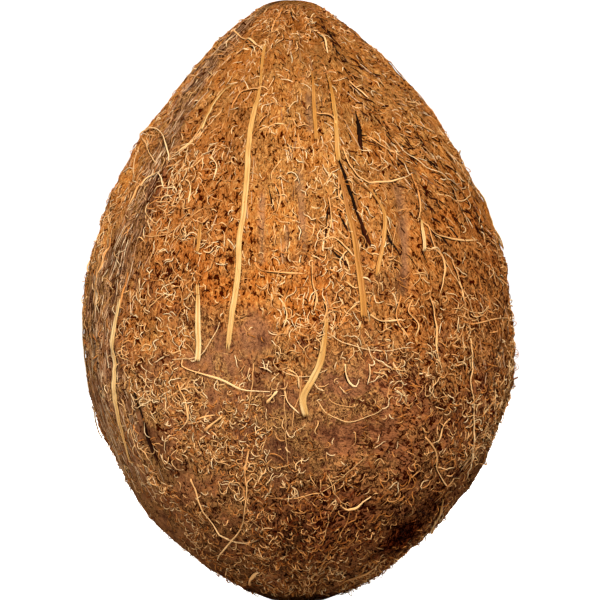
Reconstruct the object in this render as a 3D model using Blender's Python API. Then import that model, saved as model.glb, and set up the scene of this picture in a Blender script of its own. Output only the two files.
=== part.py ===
"""A whole mature coconut with its outer husk stripped off, standing on its blunt end.

It is one solid: the three-sided nut with its cover of coir as relief, worn patches and two gashes in that
cover, and the straw-like straps and curled fibres that stand out of it. Metres, +Z up, the origin in the
middle of the flat spot that the nut stands on. Azimuth 0 faces -Y and grows towards +X. A share is a height
above the flat spot divided by the whole height.
"""

import math
import random

import bmesh
import bpy
from mathutils import Vector

# The nut
HEIGHT = 0.1488  # flat spot to tip
HALF_WIDTH = 0.0538  # scale of the ovoid's radius
BLUNTNESS = 0.157  # moves the widest place below the middle
TAPER = 0.244  # slims both ends, which makes the tip pointed
FOOT_SINK = 0.0014  # depth of the ovoid that the flat spot cuts off
TIP_LEAN = 0.0024  # sideways lean of the tip, towards -X
SUTURE_BULGE = 0.022  # the three rounded ridges, as a share of the radius
SUTURES = 3

# The mesh of the nut
COLUMNS = 76  # points round the widest rings
ROWS = 36
HALF_RING_RADIUS = 0.024  # rings smaller than this have half the points
QUARTER_RING_RADIUS = 0.010

# The cover of coir
LUMP_HEIGHT = 0.00045
BUNDLE_HEIGHT = 0.0011  # lengthwise bundles of coir
CLUMP_HEIGHT = 0.0007  # matted clumps between them
BARE_DEPTH = 0.0008  # how far a worn patch lies below the coir
FOOT_FADE = 0.03  # share of the height over which the relief starts above the flat spot
TIP_FADE = 0.018  # radius over which it ends towards the tip
SEED = 7

# Worn patches where the shell's smooth skin shows: azimuth in degrees, share, reach in metres
WORN_PATCHES = (
    (11, 0.35, 0.011),
    (-4, 0.29, 0.009),
    (-26, 0.39, 0.008),
    (9, 0.22, 0.009),
    (-76, 0.17, 0.020),
    (28, 0.56, 0.006),
)
BACK_PATCHES = 7  # more of them, spread by rule over the rest of the nut

# Gashes through the coir: azimuth, share at the top, azimuth, share at the bottom, width
GASHES = (
    (26, 0.81, 25, 0.74, 0.0019),
    (16, 0.72, 20, 0.59, 0.0022),
)
GASH_DEPTH = 0.0016

# Straps of flat fibre that run down the nut: (azimuth, share) of the places that each passes, then its width
STRAPS = (
    (((-19, 0.93), (-15, 0.85), (-15, 0.73), (-17, 0.60), (-19, 0.42)), 0.0019),
    (((11, 0.88), (8, 0.76)), 0.0015),
    (((20, 0.88), (14, 0.74), (17, 0.63), (17, 0.475)), 0.0021),
    (((18, 0.70), (24, 0.675), (24, 0.61), (21, 0.54)), 0.0015),
    (((-26, 0.53), (-28, 0.47), (-27, 0.40)), 0.0018),
    (((-52, 0.54), (-56, 0.42), (-60, 0.33), (-69, 0.21)), 0.0019),
    (((6, 0.46), (4, 0.38), (1, 0.345), (2, 0.315)), 0.0021),
    (((-32, 0.86), (-38, 0.83), (-38, 0.78)), 0.0015),
    (((38, 0.635), (36, 0.58)), 0.0015),
    (((60, 0.175), (65, 0.15), (76, 0.10)), 0.0015),
)
BACK_STRAPS = 13  # more of them, by rule, from one side round the back to the other
BACK_START = 82  # azimuth in degrees
BACK_END = 292
STRAP_WIDTH = 0.0018
STRAP_RISE = 0.0010  # top of a strap above the coir
STRAP_ROOT = 0.0010  # underside of a strap below the coir
STRAP_STEP = 0.010  # distance between its sections

# Curled fibres that stand out of the coir
CURLS = 100
CURL_THICKNESS = 0.0009
CURL_STEPS = (0.0016, 0.0030)  # least and most distance between its sections
CURL_LIFTS = (-0.0012, 0.0005, 0.0012, 0.0009, -0.0010)  # of its sections, above and below the coir
CURL_TURN = 0.55  # most that its heading turns at each section, in radians
CURL_RANGE = (0.06, 0.95)  # shares of the height between which curls stand

GOLDEN_ANGLE = math.pi * (3 - math.sqrt(5))
OVOID_HEIGHT = HEIGHT + FOOT_SINK


def clear_scene():
    for item in list(bpy.data.objects):
        bpy.data.objects.remove(item, do_unlink=True)


def coir_material():
    material = bpy.data.materials.new("coir")
    material.use_nodes = True
    shader = material.node_tree.nodes["Principled BSDF"]
    shader.inputs["Base Color"].default_value = (0.36, 0.15, 0.05, 1)
    shader.inputs["Roughness"].default_value = 0.85
    shader.inputs["Metallic"].default_value = 0
    return material


def polar_angle(share):
    """The ovoid's polar angle, 0 at the tip and pi at the blunt end, at a share of the height."""
    above_bottom = share * HEIGHT + FOOT_SINK
    return math.acos(max(-1.0, min(1.0, 2 * above_bottom / OVOID_HEIGHT - 1)))


def ovoid_radius(polar):
    along = math.cos(polar)
    return HALF_WIDTH * math.sin(polar) * (1 - BLUNTNESS * along - TAPER * along * along)


def worn_patches():
    """Every worn patch: those in the list, then those spread over the back and the sides."""
    draw = random.Random(SEED + 1)
    patches = list(WORN_PATCHES)
    for index in range(BACK_PATCHES):
        azimuth = 100 + 160 * (index + 0.5) / BACK_PATCHES + draw.uniform(-8, 8)
        share = 0.14 + 0.5 * ((index * 0.618) % 1)
        patches.append((azimuth, share, draw.uniform(0.006, 0.014)))
    return patches


def relief_waves(seed, count, around, along):
    """Random waves over the nut: count round it, drift up it, phase and weight of each."""
    draw = random.Random(seed)
    waves = []
    for _ in range(count):
        waves.append(
            (
                draw.randint(*around),
                draw.uniform(-along, along),
                draw.uniform(0, 2 * math.pi),
                draw.uniform(0.5, 1) / math.sqrt(count),
            )
        )
    return waves


PATCHES = worn_patches()
LUMPS = relief_waves(SEED + 2, 7, (2, 8), 5)
BUNDLES = relief_waves(SEED + 3, 16, (12, 30), 4)
CLUMPS = relief_waves(SEED + 6, 14, (8, 26), 13)


def wave_sum(waves, azimuth, share):
    total = 0.0
    for around, drift, phase, weight in waves:
        total += weight * math.sin(around * azimuth + 2 * math.pi * drift * share + phase)
    return total


def bareness(azimuth, share, radius):
    """How worn the cover is: 0 under full coir, 1 in the middle of a worn patch."""
    found = 0.0
    for patch_azimuth, patch_share, reach in PATCHES:
        turn = azimuth - math.radians(patch_azimuth)
        across = radius * math.remainder(turn, 2 * math.pi)
        up = HEIGHT * (share - patch_share)
        found = max(found, math.exp(-((across * across + up * up * 0.6) / reach**2) ** 2))
    return found


def relief(azimuth, share, radius):
    """Height of the real surface over the smooth nut."""
    bare = bareness(azimuth, share, radius)
    lumps = LUMP_HEIGHT * wave_sum(LUMPS, azimuth, share)
    coir = BUNDLE_HEIGHT * wave_sum(BUNDLES, azimuth, share)
    coir += CLUMP_HEIGHT * wave_sum(CLUMPS, azimuth, share)
    fade = min(1.0, share / FOOT_FADE) * min(1.0, radius / TIP_FADE)
    return fade * (lumps + coir * (1 - bare) - BARE_DEPTH * bare)


def surface_point(azimuth, share, lift=0.0):
    """The point at a place on the nut, lifted off its surface by some distance."""
    polar = polar_angle(share)
    radius = ovoid_radius(polar)
    nudge = 0.001
    outward = ovoid_radius(polar + nudge) - ovoid_radius(polar - nudge)
    downward = OVOID_HEIGHT * math.sin(polar) * nudge
    slope = Vector((downward, outward)).normalized()
    bulge = 1 - SUTURE_BULGE * math.cos(SUTURES * azimuth)
    off = relief(azimuth, share, radius) + lift
    reach = radius * bulge + off * slope.x
    x = reach * math.sin(azimuth) - TIP_LEAN * share**4
    y = -reach * math.cos(azimuth)
    return Vector((x, y, share * HEIGHT + off * slope.y))


def moved_on(azimuth, share, heading, step):
    """The place one step away, with heading 0 going down the nut and growing towards +azimuth."""
    radius = max(0.004, ovoid_radius(polar_angle(share)))
    azimuth += step * math.sin(heading) / radius
    share -= step * math.cos(heading) / HEIGHT
    return azimuth, share


def new_object(name, mesh_data):
    mesh = bpy.data.meshes.new(name)
    bmesh.ops.recalc_face_normals(mesh_data, faces=mesh_data.faces)
    mesh_data.to_mesh(mesh)
    mesh_data.free()
    return bpy.data.objects.new(name, mesh)


def ring_points(radius):
    if radius < QUARTER_RING_RADIUS:
        return COLUMNS // 4
    if radius < HALF_RING_RADIUS:
        return COLUMNS // 2
    return COLUMNS


def bridge_rings(mesh_data, larger, smaller):
    """Faces between two rings that have as many points, or twice as many in the larger."""
    count = len(smaller)
    if len(larger) == count:
        for k in range(count):
            after = (k + 1) % count
            mesh_data.faces.new((larger[k], larger[after], smaller[after], smaller[k]))
        return
    for k in range(count):
        after = (k + 1) % count
        first, middle, last = larger[2 * k], larger[2 * k + 1], larger[(2 * k + 2) % (2 * count)]
        mesh_data.faces.new((smaller[k], first, middle))
        mesh_data.faces.new((smaller[k], middle, smaller[after]))
        mesh_data.faces.new((smaller[after], middle, last))


def make_nut():
    """The nut: rings from the flat spot to the tip, closed by the flat face and by a point."""
    mesh_data = bmesh.new()
    foot_polar = polar_angle(0)
    rings = []
    for row in range(ROWS):
        polar = foot_polar * (1 - row / ROWS)
        share = ((1 + math.cos(polar)) * OVOID_HEIGHT / 2 - FOOT_SINK) / HEIGHT
        count = ring_points(ovoid_radius(polar))
        ring = []
        for k in range(count):
            ring.append(mesh_data.verts.new(surface_point(2 * math.pi * k / count, share)))
        rings.append(ring)
    for lower, upper in zip(rings, rings[1:]):
        if len(lower) >= len(upper):
            bridge_rings(mesh_data, lower, upper)
        else:
            bridge_rings(mesh_data, upper, lower)
    mesh_data.faces.new(rings[0])
    tip = mesh_data.verts.new((-TIP_LEAN, 0, HEIGHT))
    top = rings[-1]
    for k in range(len(top)):
        mesh_data.faces.new((top[k], top[(k + 1) % len(top)], tip))
    return new_object("coconut", mesh_data)


def make_tube(name, sections):
    """A closed solid through sections that all have the same number of points."""
    mesh_data = bmesh.new()
    rings = []
    for section in sections:
        rings.append([mesh_data.verts.new(point) for point in section])
    for near, far in zip(rings, rings[1:]):
        bridge_rings(mesh_data, near, far)
    mesh_data.faces.new(rings[0])
    mesh_data.faces.new(rings[-1])
    return new_object(name, mesh_data)


def smooth_route(places):
    """Places every STRAP_STEP along a smooth curve through the given (azimuth in degrees, share) ones."""
    route = []
    points = [(math.radians(azimuth), share) for azimuth, share in places]
    padded = [points[0]] + points + [points[-1]]
    for before, start, end, after in zip(padded, padded[1:], padded[2:], padded[3:]):
        steps = max(1, round(HEIGHT * abs(start[1] - end[1]) / STRAP_STEP))
        for step in range(steps):
            u = step / steps
            place = []
            for a, b, c, d in zip(before, start, end, after):
                bend = u * (c - a) + u * u * (2 * a - 5 * b + 4 * c - d) + u**3 * (3 * b - a - 3 * c + d)
                place.append(b + bend / 2)
            route.append(tuple(place))
    return route + [points[-1]]


def make_strap(name, places, width):
    """A flat strand along the coir: its root end sunk in, its cut end a little proud."""
    route = smooth_route(places)
    sections = []
    for index, (azimuth, share) in enumerate(route):
        along = index / (len(route) - 1)
        half = width / 2 * (1 - 0.35 * abs(2 * along - 1) ** 3)
        rise = STRAP_RISE * (0.35 + 0.9 * along)
        side = half / max(0.004, ovoid_radius(polar_angle(share)))
        sections.append(
            (
                surface_point(azimuth - side, share, rise),
                surface_point(azimuth + side, share, rise),
                surface_point(azimuth + side * 0.7, share, -STRAP_ROOT),
                surface_point(azimuth - side * 0.7, share, -STRAP_ROOT),
            )
        )
    return make_tube(name, sections)


def back_straps():
    """Straps round the sides and the back, in three uneven tiers from the tip down."""
    draw = random.Random(SEED + 4)
    straps = []
    for index in range(BACK_STRAPS):
        azimuth = BACK_START + (BACK_END - BACK_START) * (index + draw.uniform(0.2, 0.8)) / BACK_STRAPS
        top = (0.90, 0.62, 0.42)[index % 3] + draw.uniform(-0.05, 0.05)
        length = draw.uniform(0.13, 0.34)
        drift = draw.uniform(-7, 7)
        places = ((azimuth, top), (azimuth + drift, top - length * 0.5), (azimuth + drift * 0.6, top - length))
        straps.append((places, STRAP_WIDTH * draw.uniform(0.85, 1.2)))
    return straps


def make_curl(name, azimuth, share, draw):
    """One fibre that leaves the coir, arches over it and goes back in."""
    heading = draw.uniform(0, 2 * math.pi)
    turn = draw.uniform(-CURL_TURN, CURL_TURN)
    step = draw.uniform(*CURL_STEPS)
    half = CURL_THICKNESS / 2
    sections = []
    for lift in CURL_LIFTS:
        ahead = moved_on(azimuth, share, heading, step)
        left = moved_on(azimuth, share, heading + math.pi / 2, half)
        right = moved_on(azimuth, share, heading - math.pi / 2, half)
        sections.append(
            (
                surface_point(*left, lift - half),
                surface_point(azimuth, share, lift + half),
                surface_point(*right, lift - half),
            )
        )
        azimuth, share = ahead
        heading += turn
    return make_tube(name, sections)


def make_curls():
    """Curls spread evenly over the nut by the golden angle, with a small seeded shift."""
    draw = random.Random(SEED + 5)
    low, high = CURL_RANGE
    curls = []
    for index in range(CURLS):
        share = low + (high - low) * (index + draw.uniform(0.2, 0.8)) / CURLS
        azimuth = index * GOLDEN_ANGLE + draw.uniform(-0.08, 0.08)
        curls.append(make_curl(f"curl_{index}", azimuth, share, draw))
    return curls


def make_gash(name, top_azimuth, top_share, low_azimuth, low_share, width):
    """A spindle sunk along the surface, which cuts a slit with pointed ends into the coir."""
    spine = []
    for along in (0, 0.25, 0.5, 0.75, 1):
        azimuth = math.radians(top_azimuth + (low_azimuth - top_azimuth) * along)
        spine.append((along, azimuth, top_share + (low_share - top_share) * along))
    sections = []
    for along, azimuth, share in spine:
        open_by = 0.15 + 0.85 * math.sin(math.pi * along)
        side = width / 2 * open_by / ovoid_radius(polar_angle(share))
        sections.append(
            (
                surface_point(azimuth - side * 1.4, share, 0.001),
                surface_point(azimuth + side * 1.4, share, 0.001),
                surface_point(azimuth, share, -GASH_DEPTH * open_by),
            )
        )
    return make_tube(name, sections)


def apply_boolean(target, operation, others):
    """One Boolean on a collection of all the others, applied, with its objects then removed."""
    group = bpy.data.collections.new(f"{operation.lower()}_group")
    bpy.context.scene.collection.children.link(group)
    for other in others:
        group.objects.link(other)
    modifier = target.modifiers.new(operation.lower(), "BOOLEAN")
    modifier.operation = operation
    modifier.operand_type = "COLLECTION"
    modifier.collection = group
    modifier.solver = "EXACT"
    bpy.context.view_layer.objects.active = target
    with bpy.context.temp_override(object=target, active_object=target):
        bpy.ops.object.modifier_apply(modifier=modifier.name)
    for other in others:
        bpy.data.objects.remove(other, do_unlink=True)
    bpy.data.collections.remove(group)


def keep_largest_body(item):
    """Drops loose scraps that the Booleans may leave."""
    mesh_data = bmesh.new()
    mesh_data.from_mesh(item.data)
    left = set(mesh_data.verts)
    bodies = []
    while left:
        body = {left.pop()}
        edge_of_search = list(body)
        while edge_of_search:
            vertex = edge_of_search.pop()
            for edge in vertex.link_edges:
                other = edge.other_vert(vertex)
                if other not in body:
                    body.add(other)
                    edge_of_search.append(other)
        left -= body
        bodies.append(body)
    bodies.sort(key=len)
    scraps = [vertex for body in bodies[:-1] for vertex in body]
    bmesh.ops.delete(mesh_data, geom=scraps, context="VERTS")
    mesh_data.to_mesh(item.data)
    mesh_data.free()


def centre_over_origin(item):
    """Moves the mesh sideways so that its box is centred on the Z axis."""
    xs = [vertex.co.x for vertex in item.data.vertices]
    ys = [vertex.co.y for vertex in item.data.vertices]
    shift = Vector(((min(xs) + max(xs)) / -2, (min(ys) + max(ys)) / -2, 0))
    for vertex in item.data.vertices:
        vertex.co += shift


def make_coconut():
    nut = make_nut()
    bpy.context.scene.collection.objects.link(nut)
    gashes = [make_gash(f"gash_{index}", *gash) for index, gash in enumerate(GASHES)]
    apply_boolean(nut, "DIFFERENCE", gashes)
    fibres = make_curls()
    for index, (places, width) in enumerate(list(STRAPS) + back_straps()):
        fibres.append(make_strap(f"strap_{index}", places, width))
    apply_boolean(nut, "UNION", fibres)
    keep_largest_body(nut)
    centre_over_origin(nut)
    nut.data.materials.clear()
    nut.data.materials.append(coir_material())
    nut.data.shade_smooth()
    nut.data.set_sharp_from_angle(angle=math.radians(50))


clear_scene()
make_coconut()
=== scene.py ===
import math
import random

import bpy
import numpy as np
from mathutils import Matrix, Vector


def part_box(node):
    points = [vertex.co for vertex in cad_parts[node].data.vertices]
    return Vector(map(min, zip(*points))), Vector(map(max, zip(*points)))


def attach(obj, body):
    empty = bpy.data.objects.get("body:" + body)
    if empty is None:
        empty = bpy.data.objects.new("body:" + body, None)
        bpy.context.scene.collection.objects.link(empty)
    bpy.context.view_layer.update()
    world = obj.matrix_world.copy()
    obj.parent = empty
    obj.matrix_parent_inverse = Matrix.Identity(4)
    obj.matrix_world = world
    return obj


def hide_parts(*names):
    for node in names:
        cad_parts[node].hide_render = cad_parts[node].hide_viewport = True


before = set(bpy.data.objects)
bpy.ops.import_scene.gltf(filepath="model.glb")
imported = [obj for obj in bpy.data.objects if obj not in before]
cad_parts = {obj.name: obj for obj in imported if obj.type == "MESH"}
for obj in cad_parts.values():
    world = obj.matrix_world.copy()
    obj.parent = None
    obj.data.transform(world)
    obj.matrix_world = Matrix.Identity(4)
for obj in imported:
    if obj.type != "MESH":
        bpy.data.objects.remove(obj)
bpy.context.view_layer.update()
nutLow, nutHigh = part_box("coconut")
nutHeight = nutHigh.z - nutLow.z
mm = nutHeight / 148.9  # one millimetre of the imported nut
fullTurn = 2 * math.pi


class Wire:
    # A node's output. Plain maths on it adds Math nodes, or Vector Math where it carries a vector.
    def __init__(self, paint, socket):
        self.paint = paint
        self.socket = socket

    def maths(self, operation, first, second):
        pair = (first, second)
        if any(isinstance(each, Wire) and each.socket.type == "VECTOR" for each in pair):
            return self.paint.node("VectorMath", {"operation": operation}, {0: first, 1: second})["Vector"]
        return self.paint.node("Math", {"operation": operation}, {0: first, 1: second})["Value"]

    def __add__(self, other):
        return self.maths("ADD", self, other)

    def __radd__(self, other):
        return self.maths("ADD", other, self)

    def __sub__(self, other):
        return self.maths("SUBTRACT", self, other)

    def __rsub__(self, other):
        return self.maths("SUBTRACT", other, self)

    def __mul__(self, other):
        return self.maths("MULTIPLY", self, other)

    def __rmul__(self, other):
        return self.maths("MULTIPLY", other, self)

    def __abs__(self):
        return self.maths("ABSOLUTE", self, 0)

    def atLeast(self, other):
        return self.maths("MAXIMUM", self, other)


class Paint:
    # A material's node tree, and the few ways in which this file adds to it.
    def __init__(self, name):
        self.material = bpy.data.materials.new(name)
        self.material.use_nodes = True
        self.tree = self.material.node_tree
        self.tree.nodes.clear()
        self.output = self.tree.nodes.new("ShaderNodeOutputMaterial")

    def node(self, kind, settings=None, values=None):
        made = self.tree.nodes.new("ShaderNode" + kind)
        for key, value in (settings or {}).items():
            if key == "stops":
                self.setStops(made.color_ramp, value)
            else:
                setattr(made, key, value)
        for key, value in (values or {}).items():
            if isinstance(value, Wire):
                self.tree.links.new(value.socket, made.inputs[key])
            else:
                made.inputs[key].default_value = value
        return {socket.name: Wire(self, socket) for socket in made.outputs if socket.enabled}

    def setStops(self, ramp, stops):
        for index, (place, colour) in enumerate(stops):
            stop = ramp.elements[index] if index < 2 else ramp.elements.new(place)
            stop.position = place
            stop.color = (*colour, 1)

    def reading(self, name, output="Fac"):
        return self.node("Attribute", {"attribute_name": name})[output]

    def noise(self, place, scale, detail=3, roughness=0.55, distortion=0):
        values = {"Scale": scale, "Detail": detail, "Roughness": roughness, "Distortion": distortion}
        return self.node("TexNoise", None, {"Vector": place, **values})["Fac"]

    def between(self, value, low, high):
        # 0 below low, 1 above high, and smooth in between.
        values = {"Value": value, "From Min": low, "From Max": high}
        return self.node("MapRange", {"interpolation_type": "SMOOTHSTEP"}, values)["Result"]

    def mix(self, factor, first, second, blend="MIX"):
        made = self.tree.nodes.new("ShaderNodeMix")
        made.data_type = "RGBA"
        made.blend_type = blend
        for socket, value in zip((made.inputs[0], made.inputs[6], made.inputs[7]), (factor, first, second)):
            if isinstance(value, Wire):
                self.tree.links.new(value.socket, socket)
            else:
                socket.default_value = value if isinstance(value, (int, float)) else (*value, 1)
        return Wire(self, made.outputs[2])

    def finish(self, values):
        shader = self.node("BsdfPrincipled", None, values)["BSDF"]
        self.tree.links.new(shader.socket, self.output.inputs["Surface"])
        return self.material


def srgb(*levels):
    # A colour as screens give it, from 0 to 255, turned into the linear values that shaders take.
    return tuple(((each / 255 + 0.055) / 1.055) ** 2.4 if each > 10 else each / 3300 for each in levels)


# The nut's form: lengths in metres, and places as shares of its height. It stands where its foot is cut flat.
nut = {
    "halfWidth": 53.8 * mm,
    "bluntness": 0.157,
    "taper": 0.244,
    "footSink": 1.4 * mm,
    "tipLean": 2.3 * mm,
    "tipLeanPower": 2.5,
    "footLean": 1.0 * mm,
    "footLeanAt": (0.10, 0.12),
    "slimmer": 0.012,
    "footTuck": 0.30,
    "footTuckReach": 0.022,
    "waistTuck": 0.03,
    "waistTuckAt": (0.07, 0.05),
    "sutureBulge": 0.022,
    "sutures": 3,
    "columns": 350,
    "rows": 214,
    "footRows": 5,
    "skinDepth": 0.55 * mm,
    "lumpHeight": 0.45 * mm,
    "bundleHeight": 0.50 * mm,
    "clumpHeight": 0.35 * mm,
    "feltHeight": 0.55 * mm,
    "bareDepth": 0.8 * mm,
    "tipHumps": 0.55 * mm,
    "tipHumpsAt": ((-1.5, 0.6), (1.3, 0.5)),
    "seed": 7,
}
ovoidHeight = nutHeight + nut["footSink"]
middleOfNut = Vector((0, 0, nutHeight / 2))

# Patches rubbed down to the skin: azimuth in degrees, share of the height and reach.
wornPatches = [
    (11, 0.35, 11 * mm),
    (-4, 0.29, 9 * mm),
    (-23, 0.395, 9 * mm),
    (-12, 0.445, 6 * mm),
    (8, 0.245, 4.5 * mm),
    (-76, 0.17, 20 * mm),
]
# Patches on the back are spread by chance: in degrees, shares of the height and millimetres.
backPatches = {"count": 7, "start": 100, "span": 160, "shares": (0.14, 0.64), "reach": (6, 14)}

# Bare strips, from (azimuth, share) down to (azimuth, share), with their width.
bareStrips = [
    (-11, 0.67, -10, 0.57, 1.7 * mm),
    (1, 0.71, 2, 0.59, 1.9 * mm),
    (34, 0.68, 29, 0.52, 2.6 * mm),
    (8, 0.83, 6, 0.79, 2.2 * mm),
    (-3, 0.62, -4, 0.57, 1.2 * mm),
    (130, 0.70, 127, 0.58, 2.2 * mm),
    (215, 0.62, 221, 0.50, 2.4 * mm),
    (262, 0.74, 266, 0.64, 1.8 * mm),
]

# Dark gashes in the coir, given in the same way, with their width and depth.
gashes = [
    (27.5, 0.825, 25, 0.745, 1.4 * mm, 0.7 * mm),
    (14.8, 0.728, 20.5, 0.605, 1.7 * mm, 0.8 * mm),
    (-48.6, 0.35, -47.5, 0.24, 1.5 * mm, 0.7 * mm),
]


def ovoidRadius(polar):
    along = np.cos(polar)
    return nut["halfWidth"] * np.sin(polar) * (1 - nut["bluntness"] * along - nut["taper"] * along**2)


def allPatches():
    draw = random.Random(nut["seed"] + 1)
    patches = list(wornPatches)
    lowShare, highShare = backPatches["shares"]
    for index in range(backPatches["count"]):
        turned = backPatches["span"] * (index + 0.5) / backPatches["count"]
        azimuth = backPatches["start"] + turned + draw.uniform(-8, 8)
        share = lowShare + (highShare - lowShare) * ((index * 0.618) % 1)
        patches.append((azimuth, share, draw.uniform(*backPatches["reach"]) * mm))
    return patches


def waveSum(seed, count, around, drift, azimuth, share):
    # Slanting waves round the nut, each a whole number of times, added up.
    draw = random.Random(seed)
    total = 0
    for _ in range(count):
        times = draw.randint(*around)
        slant = draw.uniform(-drift, drift)
        phase = draw.uniform(0, fullTurn)
        weight = draw.uniform(0.5, 1) / math.sqrt(count)
        total = total + weight * np.sin(times * azimuth + fullTurn * slant * share + phase)
    return total


def hill(value, centre, reach, power=2):
    # 1 at the centre, and almost 0 at twice the reach.
    return np.exp(-(((value - centre) / reach) ** power))


def turnBetween(azimuth, other):
    return (azimuth - other + math.pi) % fullTurn - math.pi


def degreesFrom(azimuth, centre):
    # How many degrees an azimuth is past a centre given in degrees.
    return np.degrees(turnBetween(azimuth, math.radians(centre)))


def spot(azimuth, share, centre, middle, reachAround, reachUp):
    # 1 on a patch of the nut and almost 0 at twice its reach. Its centre and reach around are in degrees.
    away = degreesFrom(azimuth, centre) / reachAround
    return np.exp(-(away**4) - ((share - middle) / reachUp) ** 4)


def blended(field, below, left, right, across, over):
    # A field's value between four points of its grid.
    near = field[below, left] * (1 - across) + field[below, right] * across
    far = field[below + 1, left] * (1 - across) + field[below + 1, right] * across
    return near * (1 - over) + far * over


def softGrid(seed, around, along, azimuth, up):
    # Smooth random heights from -1 to 1 on a grid that closes round the nut.
    heights = np.random.default_rng(seed).uniform(-1, 1, (along + 2, around))
    column = (azimuth / fullTurn % 1) * around
    row = np.clip(up, 0, 0.9999) * along
    left, below = np.floor(column).astype(int), np.floor(row).astype(int)
    across, over = column - left, row - below
    across, over = across**2 * (3 - 2 * across), over**2 * (3 - 2 * over)
    return blended(heights, below, left % around, (left + 1) % around, across, over)


def smoothStep(value, low, high):
    share = np.clip((value - low) / (high - low), 0, 1)
    return share**2 * (3 - 2 * share)


# How far the coir is brushed to the right and left of straight down, in radians.
brushing = {"right": 0.66, "left": 0.26, "behind": 0.3}


def slantAt(azimuth, share):
    # Which way the coir is brushed: 0 straight down the nut, and above 0 down and to the right.
    turn = degreesFrom(azimuth, 0)
    right = smoothStep(turn, 2, 40) * smoothStep(turn, 125, 85) * smoothStep(share, 0.28, 0.6)
    left = smoothStep(turn, -8, -36) * smoothStep(turn, -88, -66) * smoothStep(share, 0.45, 0.7)
    behind = smoothStep(np.abs(turn), 105, 130) * np.sin(3 * azimuth + 5 * share)
    return brushing["right"] * right - brushing["left"] * left + brushing["behind"] * behind


def lineAt(topAzimuth, lowAzimuth, along):
    # The azimuth of a straight strip from its top, 0, to its low end, 1.
    return math.radians(topAzimuth) + math.radians(lowAzimuth - topAzimuth) * along


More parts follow.
